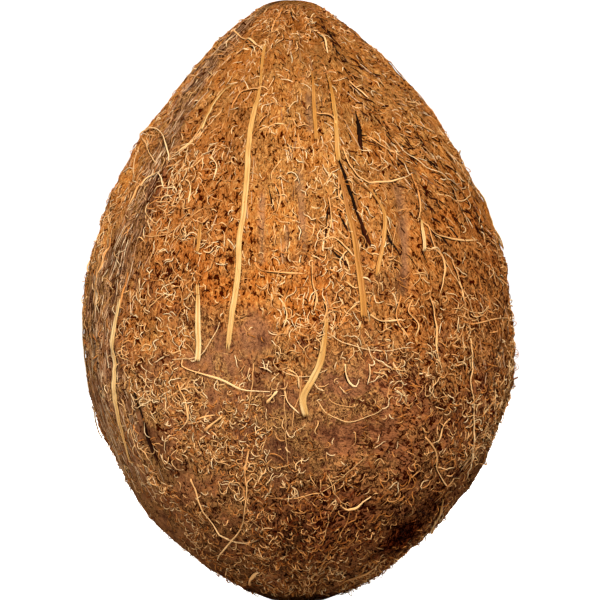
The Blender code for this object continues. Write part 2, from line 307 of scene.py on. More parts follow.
class NutSurface:
    # The nut's finished surface on a grid: azimuth across, and "up" from the foot's edge, 0, to the tip, 1,
    # in equal steps along the skin.
    def __init__(self):
        footPolar = math.acos(2 * nut["footSink"] / ovoidHeight - 1)
        fine = np.linspace(footPolar, 0, 4000)
        heights = (1 + np.cos(fine)) * ovoidHeight / 2 - nut["footSink"]
        radii = ovoidRadius(fine)
        arc = np.concatenate(([0], np.cumsum(np.hypot(np.diff(heights), np.diff(radii)))))
        self.length = arc[-1]
        self.up = np.linspace(0, 1, nut["rows"] + 1)
        self.polar = np.interp(self.up * self.length, arc, fine)
        self.share = np.interp(self.up * self.length, arc, heights) / nutHeight
        self.radius = ovoidRadius(self.polar)
        slopeOut = np.gradient(self.radius, self.up)
        slopeUp = np.gradient(self.share * nutHeight, self.up)
        size = np.hypot(slopeOut, slopeUp)
        self.normalOut, self.normalUp = slopeUp / size, -slopeOut / size
        self.normalOut[-1], self.normalUp[-1] = 0, 1
        self.azimuths = np.linspace(0, fullTurn, nut["columns"] + 1)
        azimuth, share = np.meshgrid(self.azimuths, self.share)
        up = np.repeat(self.up[:, None], nut["columns"] + 1, 1)
        radius = np.repeat(self.radius[:, None], nut["columns"] + 1, 1)
        narrowed = nut["slimmer"] + nut["footTuck"] * np.exp(-share / nut["footTuckReach"])
        narrowed = narrowed + nut["waistTuck"] * hill(share, *nut["waistTuckAt"])
        lean = nut["tipLean"] * share ** nut["tipLeanPower"]
        lean = lean + nut["footLean"] * hill(share, *nut["footLeanAt"])
        self.worn = self.wornField(azimuth, share, radius, up)
        turn = degreesFrom(azimuth, 0)
        leaning = 0.48 * smoothStep(turn, 2, 42) * smoothStep(turn, 150, 60) - 0.2 * smoothStep(turn, -5, -40)
        leaning = leaning * smoothStep(turn, -175, -130)
        self.brushed = azimuth + leaning * (up - 0.52) * self.length / (46 * mm)
        self.gash = self.gashField(azimuth, share, radius)
        relief = self.reliefField(azimuth, share, radius, up)
        out = self.normalOut[:, None]
        bulge = 1 - nut["sutureBulge"] * np.cos(nut["sutures"] * azimuth)
        reach = radius * (bulge - narrowed) + relief * out
        self.points = np.stack(
            (
                reach * np.sin(azimuth) - lean,
                -reach * np.cos(azimuth),
                share * nutHeight + relief * self.normalUp[:, None],
            ),
            -1,
        )
        self.points[-1] = self.points[-1].mean(0)
        self.points[0, :, 2] = 0
        self.points[1:, :, 2] = np.maximum(self.points[1:, :, 2], 0.05 * mm)
        self.normals = np.stack(
            (out * np.sin(azimuth), -out * np.cos(azimuth), self.normalUp[:, None] + 0 * azimuth), -1
        )

    def wornField(self, azimuth, share, radius, up):
        found = np.zeros_like(azimuth)
        ragged = 1 + 0.45 * softGrid(31, 60, 34, azimuth, up) + 0.3 * softGrid(32, 120, 60, azimuth, up)
        for patchAzimuth, patchShare, reach in allPatches():
            across = radius * turnBetween(azimuth, math.radians(patchAzimuth))
            rise = nutHeight * (share - patchShare)
            away = (across**2 + rise**2 * 0.6) / reach**2
            found = np.maximum(found, np.exp(-((away * ragged) ** 2)))
        for topAzimuth, topShare, lowAzimuth, lowShare, width in bareStrips:
            along = np.clip((topShare - share) / (topShare - lowShare), 0, 1)
            across = radius * turnBetween(azimuth, lineAt(topAzimuth, lowAzimuth, along))
            rise = nutHeight * (share - topShare + (topShare - lowShare) * along)
            away = (across**2 + rise**2 * 0.4) / (width / 2) ** 2
            found = np.maximum(found, np.exp(-((away * ragged) ** 2)))
        return found

    def gashField(self, azimuth, share, radius):
        depth = np.zeros_like(azimuth)
        for topAzimuth, topShare, lowAzimuth, lowShare, width, deep in gashes:
            along = (topShare - share) / (topShare - lowShare)
            across = radius * turnBetween(azimuth, lineAt(topAzimuth, lowAzimuth, along))
            openBy = np.sin(math.pi * np.clip(along, 0, 1)) ** 0.6
            depth = np.maximum(depth, deep * openBy * hill(across, 0, width * 0.5))
        return depth

    def reliefField(self, azimuth, share, radius, up):
        seed = nut["seed"]
        lumps = nut["lumpHeight"] * waveSum(seed + 2, 7, (2, 8), 5, azimuth, share)
        bundles = nut["bundleHeight"] * waveSum(seed + 3, 16, (12, 30), 4, azimuth, share)
        clumps = nut["clumpHeight"] * waveSum(seed + 6, 14, (8, 26), 13, azimuth, share)
        swayed = azimuth + 0.05 * softGrid(41, 30, 20, azimuth, up)
        felt = 0.6 * softGrid(42, 170, 60, swayed, up)
        felt += 0.5 * (1 - 2 * np.abs(softGrid(43, 110, 46, swayed, up)))
        felt += 0.35 * softGrid(44, 260, 130, swayed, up)
        self.raised = felt * (1 - 0.6 * self.worn)
        felt = felt * nut["feltHeight"] * np.clip(radius / (26 * mm), 0.12, 1)
        fade = np.minimum(1, share / 0.03) * np.minimum(1, radius / (18 * mm))
        tipFade = np.minimum(1, share / 0.03) * np.minimum(1, radius / (3 * mm))
        coir = bundles + clumps
        humps = sum(hill(turnBetween(azimuth, centre), 0, reach) for centre, reach in nut["tipHumpsAt"])
        return (
            fade * (lumps + coir * (1 - self.worn) - nut["bareDepth"] * self.worn - nut["skinDepth"])
            + tipFade * felt * (1 - 0.75 * self.worn)
            + nut["tipHumps"] * humps * hill(share, 0.99, 0.008)
            - self.gash
        )

    def sample(self, field, azimuth, up):
        # A field of the grid at any places.
        column = (azimuth / fullTurn % 1) * nut["columns"]
        row = np.clip(up, 0, 1) * (nut["rows"] - 1e-6)
        left, below = np.floor(column).astype(int) % nut["columns"], np.floor(row).astype(int)
        across, over = column - np.floor(column), row - below
        if field.ndim == 3:
            across, over = across[..., None], over[..., None]
        return blended(field, below, left, left + 1, across, over)

    def place(self, azimuth, up, lift):
        point = self.sample(self.points, azimuth, up)
        normal = self.sample(self.normals, azimuth, up)
        return point + normal * np.asarray(lift)[..., None], normal

    def moved(self, azimuth, up, heading, step):
        # Heading 0 goes down the nut, and grows towards +azimuth.
        radius = np.maximum(np.interp(up, self.up, self.radius), 3 * mm)
        return azimuth + step * np.sin(heading) / radius, up - step * np.cos(heading) / self.length

    def upOf(self, share):
        return np.interp(share, self.share, self.up)


surface = NutSurface()
print("surface of the nut worked out")


def meshPiece(name, points, quads, triangles=None, corners=None, readings=None):
    # An object from arrays. Corners are the places of the bake map, one for each corner of each face.
    loops = quads.reshape(-1)
    starts = np.arange(len(quads)) * 4
    if triangles is not None and len(triangles):
        starts = np.concatenate((starts, len(loops) + np.arange(len(triangles)) * 3))
        loops = np.concatenate((loops, triangles.reshape(-1)))
    mesh = bpy.data.meshes.new(name)
    mesh.vertices.add(len(points))
    mesh.vertices.foreach_set("co", np.asarray(points, np.float32).reshape(-1))
    mesh.loops.add(len(loops))
    mesh.loops.foreach_set("vertex_index", loops.astype(np.int32))
    mesh.polygons.add(len(starts))
    mesh.polygons.foreach_set("loop_start", starts.astype(np.int32))
    mesh.update(calc_edges=True)
    mesh.shade_smooth()
    for label, values in (readings or {}).items():
        values = np.asarray(values, np.float32)
        kind, key = ("FLOAT_VECTOR", "vector") if values.ndim == 2 else ("FLOAT", "value")
        mesh.attributes.new(label, kind, "POINT").data.foreach_set(key, values.reshape(-1))
    if corners is not None:
        bakeMap = mesh.uv_layers.new(name="OFBake")
        bakeMap.uv.foreach_set("vector", np.asarray(corners, np.float32).reshape(-1))
    piece = bpy.data.objects.new(name, mesh)
    bpy.context.scene.collection.objects.link(piece)
    return piece


def ontoFrame(piece, material):
    piece.data.materials.append(material)
    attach(piece, "root")
    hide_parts("coconut")
    return piece


def mapCorners(*places):
    # Places on the bake map for many faces at once, from those of each corner: across, upwards.
    pairs = [np.stack(np.broadcast_arrays(across, upwards), -1) for across, upwards in places]
    return np.stack(pairs, -2).reshape(-1, 2)


def makeShell(material):
    # The felted body: the surface's grid, closed by flat rings under the foot.
    columns, rows, footRows = nut["columns"], nut["rows"], nut["footRows"]
    inward = np.arange(1, footRows) / footRows
    flat = [surface.points[0, :-1] * (share, share, 1) for share in inward]
    body = surface.points[:-1, :-1].reshape(-1, 3)
    points = np.concatenate(([[0, 0, 0]], *flat, body, surface.points[-1, :1]))
    ringRows = footRows - 1 + rows
    first = 1 + np.arange(ringRows)[:, None] * columns + np.arange(columns)[None]
    after = 1 + np.arange(ringRows)[:, None] * columns + (np.arange(columns)[None] + 1) % columns
    quads = np.stack((first[:-1], after[:-1], after[1:], first[1:]), -1).reshape(-1, 4)
    foot = np.stack((np.zeros(columns, int), after[0], first[0]), -1)
    tip = np.stack((first[-1], after[-1], np.full(columns, len(points) - 1)), -1)
    # The bake map unrolls the nut: azimuth across, foot to tip upwards.
    left = np.arange(columns) / columns
    right = left + 1 / columns
    middle = (left + right) / 2
    height = np.arange(ringRows + 2) / (ringRows + 1)
    low, high = height[1:-2, None], height[2:-1, None]
    quadMap = mapCorners((left, low), (right, low), (right, high), (left, high))
    footMap = mapCorners((middle, 0), (right, height[1]), (left, height[1]))
    tipMap = mapCorners((left, height[-2]), (right, height[-2]), (middle, 1))

    def spreadOut(field, footValue):
        below = np.full(1 + (footRows - 1) * columns, footValue)
        return np.concatenate((below, field[:-1, :-1].reshape(-1), field[-1, :1]))

    under = -0.08  # how far the grain runs on under the foot
    upRow = np.concatenate((under * (1 - inward), surface.up[:-1]))
    upAll = np.concatenate(([under], np.repeat(upRow, columns), [1]))
    azimuthAll = np.concatenate(([0], np.tile(surface.azimuths[:-1], ringRows), [0]))
    grain = np.stack((np.sin(azimuthAll), -np.cos(azimuthAll), upAll * surface.length / nut["halfWidth"]), -1)
    azimuthGrid, share = np.meshgrid(surface.azimuths, surface.share)
    brushed = spreadOut(surface.brushed, 0)
    shell = meshPiece(
        "coirShell",
        points,
        quads,
        np.concatenate((foot, tip)),
        np.concatenate((quadMap, footMap, tipMap)),
        {
            "grain": grain,
            "worn": spreadOut(surface.worn, 0.3),
            "raised": spreadOut(surface.raised, 0),
            "suture": spreadOut(sutureAt(azimuthGrid, share), 0),
            "share": spreadOut(share, 0),
            "shade": spreadOut(shadeAt(azimuthGrid, share), 1),
            "brushed": np.stack((np.sin(brushed), -np.cos(brushed), grain[:, 2]), -1),
        },
    )
    return ontoFrame(shell, material)


def tubes(paths, normals, widths, sides, flatness):
    # Closed tubes through paths of shape (fibre, station, 3), with widths (fibre, station) as their radii.
    count, stations, _ = paths.shape
    forward = np.gradient(paths, axis=1)
    forward /= np.linalg.norm(forward, axis=2, keepdims=True) + 1e-12
    across = np.cross(forward, normals)
    across /= np.linalg.norm(across, axis=2, keepdims=True) + 1e-12
    above = np.cross(across, forward)
    turns = fullTurn * (np.arange(sides) + 0.25) / sides
    ring = (
        across[:, :, None] * np.cos(turns)[:, None] + above[:, :, None] * np.sin(turns)[:, None] * flatness
    ) * widths[:, :, None, None]
    points = paths[:, :, None] + ring
    index = np.arange(count * stations * sides).reshape(count, stations, sides)
    after = np.roll(index, -1, 2)
    quads = np.stack((index[:, :-1], after[:, :-1], after[:, 1:], index[:, 1:]), -1)
    caps = []
    for k in range(1, sides - 1):
        caps.append(np.stack((index[:, 0, 0], index[:, 0, k + 1], index[:, 0, k]), -1))
        caps.append(np.stack((index[:, -1, 0], index[:, -1, k], index[:, -1, k + 1]), -1))
    return points, quads, np.concatenate(caps)


def fibrePiece(name, batches, material, flatness=1.0):
    # One object from several batches of fibres: (paths, normals, widths, sides, tones).
    # The bake map is a palette: a fibre's tone across, in a narrow stripe, and its length upwards.
    margin, span, stripe = 0.01, 0.97, 0.004
    points, quads, caps, tones, alongs, quadMaps, capMaps = [], [], [], [], [], [], []
    base = 0
    for paths, normals, widths, sides, tone in batches:
        count, stations, _ = paths.shape
        made, madeQuads, madeCaps = tubes(paths, normals, widths, sides, flatness)
        made[..., 2] = np.maximum(made[..., 2], 0.02 * mm)
        points.append(made.reshape(-1, 3))
        quads.append(madeQuads.reshape(-1, 4) + base)
        caps.append(madeCaps + base)
        base += count * stations * sides
        along = np.linspace(0, 1, stations)
        if tone.ndim == 1:
            tone = np.repeat(tone[:, None], stations, 1)
        tones.append(np.repeat(tone, sides, 1).reshape(-1))
        alongs.append(np.tile(np.repeat(along, sides), count))
        start = margin + span * np.clip(tone, 0, 1)
        offset = stripe * np.arange(sides) / sides
        near, far, wide = start[:, :-1, None] + offset, start[:, 1:, None] + offset, stripe / sides
        level = margin + (1 - 2 * margin) * along
        low, high = level[:-1, None], level[1:, None]
        quadMaps.append(mapCorners((near, low), (near + wide, low), (far + wide, high), (far, high)))
        ends = []
        for edge, into, first in ((margin, stripe, start[:, 0]), (1 - margin, -stripe, start[:, -1])):
            ends.append(mapCorners((first, edge), (first + stripe, edge), (first + stripe / 2, edge + into)))
        capMaps += ends * (sides - 2)
    piece = meshPiece(
        name,
        np.concatenate(points),
        np.concatenate(quads),
        np.concatenate(caps),
        np.concatenate(quadMaps + capMaps),
        {"tone": np.concatenate(tones), "along": np.concatenate(alongs)},
    )
    print(name, sum(len(each[0]) for each in batches), "fibres")
    return ontoFrame(piece, material)


def dealOut(name, batch, pieces, material):
    # One batch, dealt out to so many pieces.
    paths, normals, widths, sides, tone = batch
    for index in range(pieces):
        part = slice(index, None, pieces)
        fibres = (paths[part], normals[part], widths[part], sides, tone[part])
        fibrePiece(f"{name}{index + 1}", [fibres], material)


def scattered(draw, count, chance, low, high):
    # Places spread evenly round the nut and up it, thinned by a chance that depends on the place.
    azimuth, share = np.zeros(0), np.zeros(0)
    while len(azimuth) < count:
        tryAzimuth = draw.uniform(0, fullTurn, count)
        tryShare = draw.uniform(low, high, count)
        kept = draw.uniform(0, 1, count) < chance(tryAzimuth, surface.upOf(tryShare), tryShare)
        azimuth = np.concatenate((azimuth, tryAzimuth[kept]))
        share = np.concatenate((share, tryShare[kept]))
    return azimuth[:count], surface.upOf(share[:count]), share[:count]


def wornAt(azimuth, up):
    return surface.sample(surface.worn, azimuth, up)


def gashAt(azimuth, up):
    # The depth of the gashes in millimetres.
    return surface.sample(surface.gash, azimuth, up) / mm


# The bands of bare threads up the nut's ridges: azimuth, half width in degrees and strength.
seams = [
    (-53, 8, 1),
    (76, 5, 0.15),
    (184, 8, 0.9),
]


def sutureAt(azimuth, share):
    # 1 on the bands of bare threads, 0 away from them.
    found = np.zeros_like(azimuth)
    low = smoothStep(share, 0.66, 0.46)
    for centre, width, strength in seams:
        away = degreesFrom(azimuth, centre) + 14 * low
        away = away + 4 * smoothStep(share, 0.74, 0.86)
        found = np.maximum(found, strength * hill(away, 0, width * (1 + low), 4))
    return found * smoothStep(share, 0.16, 0.30)


def combedAt(azimuth):
    # 1 where the coir is combed into long bundles: on the right, on the left flank and on part of the back.
    turn = degreesFrom(azimuth, 0)
    right = smoothStep(turn, 12, 34) * smoothStep(turn, 150, 115)
    return np.maximum(right, smoothStep(turn, -60, -74) * (1 - 0.6 * smoothStep(turn, -95, -125)))


def lowerAt(azimuth, up, share):
    # 0 on the brushed felt of the upper half, 1 on the curly, barer lower half, with a ragged border.
    turn = degreesFrom(azimuth, 0)
    flank = smoothStep(turn, -58, -68) * smoothStep(turn, -118, -100)
    return smoothStep(share + 0.10 * softGrid(91, 26, 16, azimuth, up), 0.52, 0.36) * (1 - 0.7 * flank)


def curlyAt(azimuth, share):
    # 1 on the left of the front, where the felt is a dense mat of small pale curls.
    return spot(azimuth, share, -36, 0.60, 17, 0.19)


def calmAt(azimuth, up, share):
    # 1 on the open felt, little on the bands of threads and 0 in the gashes.
    return (1 - 0.8 * sutureAt(azimuth, share)) * (gashAt(azimuth, up) < 0.12)


def patchy(seed, azimuth, up):
    # Broad patches with ragged edges, mostly from 0 to 1.
    broad, ragged = softGrid(seed, 22, 13, azimuth, up), softGrid(seed + 1, 60, 34, azimuth, up)
    return 0.5 + 0.3 * broad + 0.25 * ragged


# Darker quarters of the coir, partly its own darker, redder colour and partly painted shade on the lower
# right, towards the foot and across the lit front: azimuth, share of the height, reach in degrees and in
# share, and how dark.
darkQuarters = [
    (-34, 0.65, 19, 0.19, 0.32),
    (-48, 0.69, 6, 0.035, 0.34),
    (2, 0.46, 11, 0.13, 0.08),
    (58, 0.42, 32, 0.14, 0.34),
    (52, 0.63, 26, 0.09, 0.24),
    (46, 0.18, 34, 0.13, 0.20),
    (57, 0.13, 15, 0.06, 0.10),
    (50, 0.11, 8, 0.030, 0.60),
    (54, 0.178, 6, 0.030, 0.34),
    (38, 0.217, 4, 0.013, 0.42),
    (6, 0.13, 22, 0.06, 0.27),
    (-49, 0.44, 5, 0.06, 0.20),
    (-57, 0.60, 9, 0.22, 0.07),
    (14, 0.56, 14, 0.11, 0.13),
    (18, 0.28, 20, 0.24, 0.10),
    (150, 0.45, 30, 0.16, 0.25),
    (235, 0.62, 26, 0.14, 0.25),
    (200, 0.20, 40, 0.10, 0.25),
]


def shadeAt(azimuth, share):
    # 1 on most of the nut, and less in its darker quarters, which are partly painted shade.
    found = np.ones_like(azimuth)
    for *quarter, depth in darkQuarters:
        found = found - depth * spot(azimuth, share, *quarter)
    return found


def toneAt(azimuth, up, share):
    # Paler across the middle and dimmer at both ends, partly the coir's colour and partly painted shade;
    # paler where the felt stands up, a painted highlight; dimmer in the darker quarters.
    tone = 0.36 + 0.15 * smoothStep(share, 0.05, 0.4) - 0.04 * smoothStep(share, 0.72, 0.92)
    return tone + 0.08 * surface.sample(surface.raised, azimuth, up) - 0.45 * (1 - shadeAt(azimuth, share))


def clipTone(tone):
    return np.clip(tone, 0.02, 0.98)


def tapered(stations, tip):
    # The widths of a fibre that is thickest near its root.
    along = np.linspace(0, 1, stations)
    return (1 - (1 - tip) * along**1.5) * (0.6 + 0.4 * np.minimum(1, along * 4))


def spindle(stations):
    # The widths of a sliver that is thin at both ends.
    return np.sin(math.pi * np.linspace(0.05, 0.95, stations)) ** 0.8


class Crowd:
    # Fibres scattered over the nut. A pair in their look is a value, and what loose coir adds to it.
    def __init__(self, look, chance, looseAt=None):
        self.look = look
        self.draw = draw = np.random.default_rng(look["seed"])
        self.azimuth, self.up, self.share = scattered(draw, look["count"], chance, *look["between"])
        self.count = count = len(self.azimuth)
        self.loose = looseAt(self.azimuth, self.up, self.share) if looseAt else np.zeros(count)
        # They follow the way the coir is brushed. Where some stray, the others go up it as often as down.
        self.heading = slantAt(self.azimuth, self.share) + draw.normal(0, 1, count) * self.pair("spread")
        if "strays" in look:
            self.heading = self.heading + math.pi * (draw.uniform(0, 1, count) < 0.4)
            strays = draw.uniform(0, 1, count) < self.pair("strays")
            self.heading = np.where(strays, draw.uniform(0, fullTurn, count), self.heading)
        self.length = draw.uniform(*look["length"], count) * (1 - look["shorter"] * self.loose) * mm

    def pair(self, key):
        value, added = self.look[key]
        return value + added * self.loose

    def lay(self, root, middle, tip, shape):
        # Paths that bend steadily, wander, and rise in an arch, to lifts in millimetres at three places.
        draw, count, stations = self.draw, self.count, self.look["stations"]
        root, middle, tip = root * mm, middle * mm, tip * mm
        turn = self.pair("bend") * draw.normal(0, 1, count) / (stations - 1)
        phase, pace = draw.uniform(0, fullTurn, count), draw.uniform(0.5, 1.6, count)
        azimuth, up, heading = self.azimuth, self.up, self.heading
        paths, normals = [], []
        for station in range(stations):
            along = station / (stations - 1)
            arch = np.sin(math.pi * min(1, along * 1.05)) ** 0.8
            point, normal = surface.place(azimuth, up, root * (1 - along) + tip * along + middle * arch)
            paths.append(point)
            normals.append(normal)
            kink = draw.normal(0, 1, count) * np.where(draw.uniform(0, 1, count) < 0.2, 0.9, 0.4)
            heading = heading + turn + self.pair("wander") * (np.sin(phase + pace * station) + kink)
            azimuth, up = surface.moved(azimuth, up, heading, self.length / (stations - 1))
        self.paths, self.normals = np.stack(paths, 1), np.stack(normals, 1)
        self.widths = draw.uniform(*self.look["radius"], count)[:, None] * mm * shape[None]

    def batch(self, tone, spread):
        # The fibres as fibrePiece takes them, with tones that differ by chance.
        tone = clipTone(tone + self.draw.normal(0, spread, self.count))
        return self.paths, self.normals, self.widths, 3, tone


# In each look, "between" is in shares of the nut's height, and lengths and radii are in millimetres.
fibrils = {
    "count": 15600, "pieces": 3, "stations": 5, "seed": 101, "between": (0.012, 0.985),
    "length": (1.3, 4.0), "shorter": 0.2, "radius": (0.09, 0.18), "tip": 0.4,
    "spread": (0.32, 0.5), "strays": (0.10, 0.20), "bend": (1.2, 1.2), "wander": (0.36, 0.14),
}


def growFibrils():
    # The short fibrils that the felt is matted from: brushed flat above, and curled like commas below.
    def chance(azimuth, up, share):
        lower, curly = lowerAt(azimuth, up, share), curlyAt(azimuth, share)
        spots = np.clip((2.2 + 1.0 * lower) * patchy(61, azimuth, up) - 0.55 - 0.55 * lower, 0.07, 1)
        spots = spots * np.clip(1.1 - 1.6 * (1 - shadeAt(azimuth, share)) + 0.6 * curly, 0.15, 1)
        dense = np.maximum(0.58 + 0.42 * lower, curly)
        return (1 - 0.8 * wornAt(azimuth, up)) * dense * spots * calmAt(azimuth, up, share)

    crowd = Crowd(fibrils, chance, lowerAt)
    draw, count, azimuth, share, lower = crowd.draw, crowd.count, crowd.azimuth, crowd.share, crowd.loose
    middle, tip = draw.gamma(2.2, 0.12 + 0.06 * lower, count), draw.uniform(-0.15, 0.22, count)
    crowd.lay(-0.12, middle, tip, tapered(fibrils["stations"], fibrils["tip"]))
    curly = np.maximum(lower, 0.8 * (1 - combedAt(azimuth))) * (1 - 0.75 * smoothStep(share, 0.64, 0.84))
    curly = curly + 0.9 * curlyAt(azimuth, share)
    bright = 0.36 * (draw.uniform(0, 1, count) < 0.14 + 0.36 * curly)
    bright = bright + 0.12 * curlyAt(azimuth, share) - 0.02
    return crowd.batch(toneAt(azimuth, crowd.up, share) + bright, 0.12)


curls = {
    "count": 2800, "pieces": 1, "stations": 7, "seed": 202, "between": (0.02, 0.985),
    "length": (2.0, 5.6), "shorter": 0, "radius": (0.11, 0.21), "tip": 0.4, "highest": 0.75,
    "spread": (0.35, 0.4), "strays": (0.12, 0.2), "bend": (0.9, 0.7), "wander": (0.40, 0.08),
}


def growCurls():
    # Longer loose curls that stand out of the felt, in loose crowds.
    def chance(azimuth, up, share):
        middle = np.maximum(hill(share, 0.42, 0.27, 4), curlyAt(azimuth, share))
        spots = np.clip(3.2 * patchy(71, azimuth, up) - 1.3, 0.04, 1)
        return (1 - 0.6 * wornAt(azimuth, up)) * spots * (0.09 + 0.91 * middle) * calmAt(azimuth, up, share)

    crowd = Crowd(curls, chance, lowerAt)
    middle = np.minimum(crowd.draw.gamma(2.2, 0.2, crowd.count), curls["highest"])
    tip = crowd.draw.uniform(-0.2, 0.25, crowd.count)
    crowd.lay(-0.15, middle, tip, tapered(curls["stations"], curls["tip"]))
    return crowd.batch(toneAt(crowd.azimuth, crowd.up, crowd.share) + 0.24 + 0.06 * crowd.loose, 0.16)


def shadowsOf(batch, every):
    # A dark line under the left edge of every so many pale fibres, where the felt behind them is in shadow.
    paths, normals, widths, sides, tone = batch
    chosen = np.nonzero(tone > 0.58)[0][::every]
    paths, normals, widths = paths[chosen], normals[chosen], widths[chosen]
    left = np.cross(normals, (0, 0, 1))
    left /= np.linalg.norm(left, axis=2, keepdims=True) + 1e-9
    shift = -left * widths.max(1)[:, None, None] * 1.2 - normals * 0.12 * mm
    return paths + shift, normals, widths * 1.2, sides, np.full(len(chosen), 0.08)


cracks = {
    "count": 2500, "stations": 5, "seed": 505, "between": (0.02, 0.97), "flatness": 0.28,
    "length": (1.2, 5.2), "shorter": 0.35, "radius": (0.12, 0.30), "lift": 0.02, "arch": 0.06,
    "spread": (0.16, 0.5), "strays": (0.01, 0.30), "bend": (0.35, 1.6), "wander": (0.12, 0.3),
}


def growCracks():
    # The dark gaps between the fibres: flat slivers, thin at both ends, and longest where the coir is combed.
    # Their darkness is partly dark coir and partly painted shade in the gaps.
    def chance(azimuth, up, share):
        combed = combedAt(azimuth) * smoothStep(share, 0.2, 0.4)
        low = smoothStep(share, 0.5, 0.3)
        spots = np.clip(2.4 * patchy(51, azimuth, up) - 0.7, 0.05, 1)
        combed = combed * (1 - 0.6 * low * smoothStep(np.cos(azimuth - math.radians(-72)), 0.6, 0.9))
        wanted = 0.18 + 0.75 * combed + 0.42 * low * (1 - combed) + 0.8 * (1 - shadeAt(azimuth, share))
        return wanted * spots * (1 - 0.8 * wornAt(azimuth, up)) * (gashAt(azimuth, up) < 0.12)

    def looseAt(azimuth, up, share):
        return np.maximum(lowerAt(azimuth, up, share), 1 - combedAt(azimuth))

    crowd = Crowd(cracks, chance, looseAt)
    crowd.lay(cracks["lift"], cracks["arch"], cracks["lift"], spindle(cracks["stations"]))
    widths = crowd.widths * (1.2 - 0.6 * crowd.loose)[:, None]
    tone = crowd.draw.uniform(0.01, 0.05 + 0.06 * crowd.loose, crowd.count)
    return crowd.paths, crowd.normals, widths, 3, tone


threads = {
    "count": 2400, "stations": 5, "seed": 303, "between": (0.08, 0.975),
    "length": (5, 14), "shorter": 0, "radius": (0.08, 0.16), "tip": 0.7,
    "spread": (0.10, 0), "bend": (0.2, 0), "wander": (0.05, 0),
}


def growThreads():
    # Straight threads laid side by side, mostly on the bands up the ridges.
    def chance(azimuth, up, share):
        brushed = 0.05 * smoothStep(share, 0.5, 0.7)
        return (brushed + 0.80 * sutureAt(azimuth, share)) * (gashAt(azimuth, up) < 0.25)

    crowd = Crowd(threads, chance)
    middle = crowd.draw.uniform(0.02, 0.20, crowd.count)
    crowd.lay(-0.15, middle, -0.15, tapered(threads["stations"], threads["tip"]))
    pale = 0.04 + 0.10 * smoothStep(crowd.share, 0.5, 0.36)
    return crowd.batch(toneAt(crowd.azimuth, crowd.up, crowd.share) + pale, 0.28)


hairs = {
    "count": 130, "stations": 20, "seed": 404, "between": (0.12, 0.97),
    "length": (8, 28), "shorter": 0, "radius": (0.10, 0.17), "tip": 0.6, "tone": 0.70,
    "spread": (0.35, 0), "bend": (1.1, 0), "wander": (0.11, 0),
}


def growHairs():
    # A few long loose hairs that wander over everything else.
    def chance(azimuth, up, share):
        return 0.4 + 0.6 * patchy(81, azimuth, up)

    crowd = Crowd(hairs, chance)
    middle, tip = crowd.draw.gamma(2.0, 0.13, crowd.count), crowd.draw.uniform(0, 0.3, crowd.count)
    crowd.lay(-0.2, middle, tip, tapered(hairs["stations"], hairs["tip"]))
    return crowd.batch(hairs["tone"], 0.12)


# Each strap's places as (azimuth, share of the height), its width in millimetres and its tone.
straps = [
    (
        ((-21, 0.93), (-17, 0.85), (-17.5, 0.78), (-16, 0.69), (-16.5, 0.60), (-16.5, 0.54), (-19, 0.42)),
        1.2, 0.76,
    ),
    (((11, 0.885), (9, 0.82), (8, 0.765)), 0.8, 0.56),
    (((20, 0.88), (17.5, 0.82), (15, 0.76), (14.5, 0.725)), 1.0, 0.60),
    (((14, 0.715), (15, 0.66), (16, 0.61), (16.6, 0.54), (17, 0.475)), 1.4, 0.40),
    (((18, 0.705), (23, 0.68), (26, 0.65), (25, 0.61), (21, 0.54)), 0.9, 0.56),
    (((-27.2, 0.53), (-26.9, 0.50), (-27, 0.45), (-27.6, 0.404)), 1.2, 0.84),
    (((-62.5, 0.225), (-60, 0.285), (-57.8, 0.345), (-56, 0.40), (-54, 0.45), (-53.3, 0.505)), 1.3, 0.94),
    (((7.5, 0.478), (6, 0.41), (4, 0.38), (1, 0.345), (2, 0.315)), 1.5, 0.70),
    (((-32, 0.86), (-38, 0.83), (-38, 0.78)), 0.8, 0.70),
    (((38, 0.635), (37, 0.61), (36, 0.58)), 0.8, 0.86),
    (((60, 0.173), (64, 0.149), (73, 0.115)), 1.1, 0.60),
    (((-29, 0.63), (-28.5, 0.58)), 0.8, 0.60),
]
strapLook = {
    "strands": 3, "spacing": 1.1, "narrow": 0.5, "flatness": 0.42, "lift": 0.34, "tipLift": 0.40, "seed": 11,
    "backCount": 14, "backStart": 82, "backEnd": 276, "backTops": (0.90, 0.62, 0.42), "backWidth": 1.4,
}

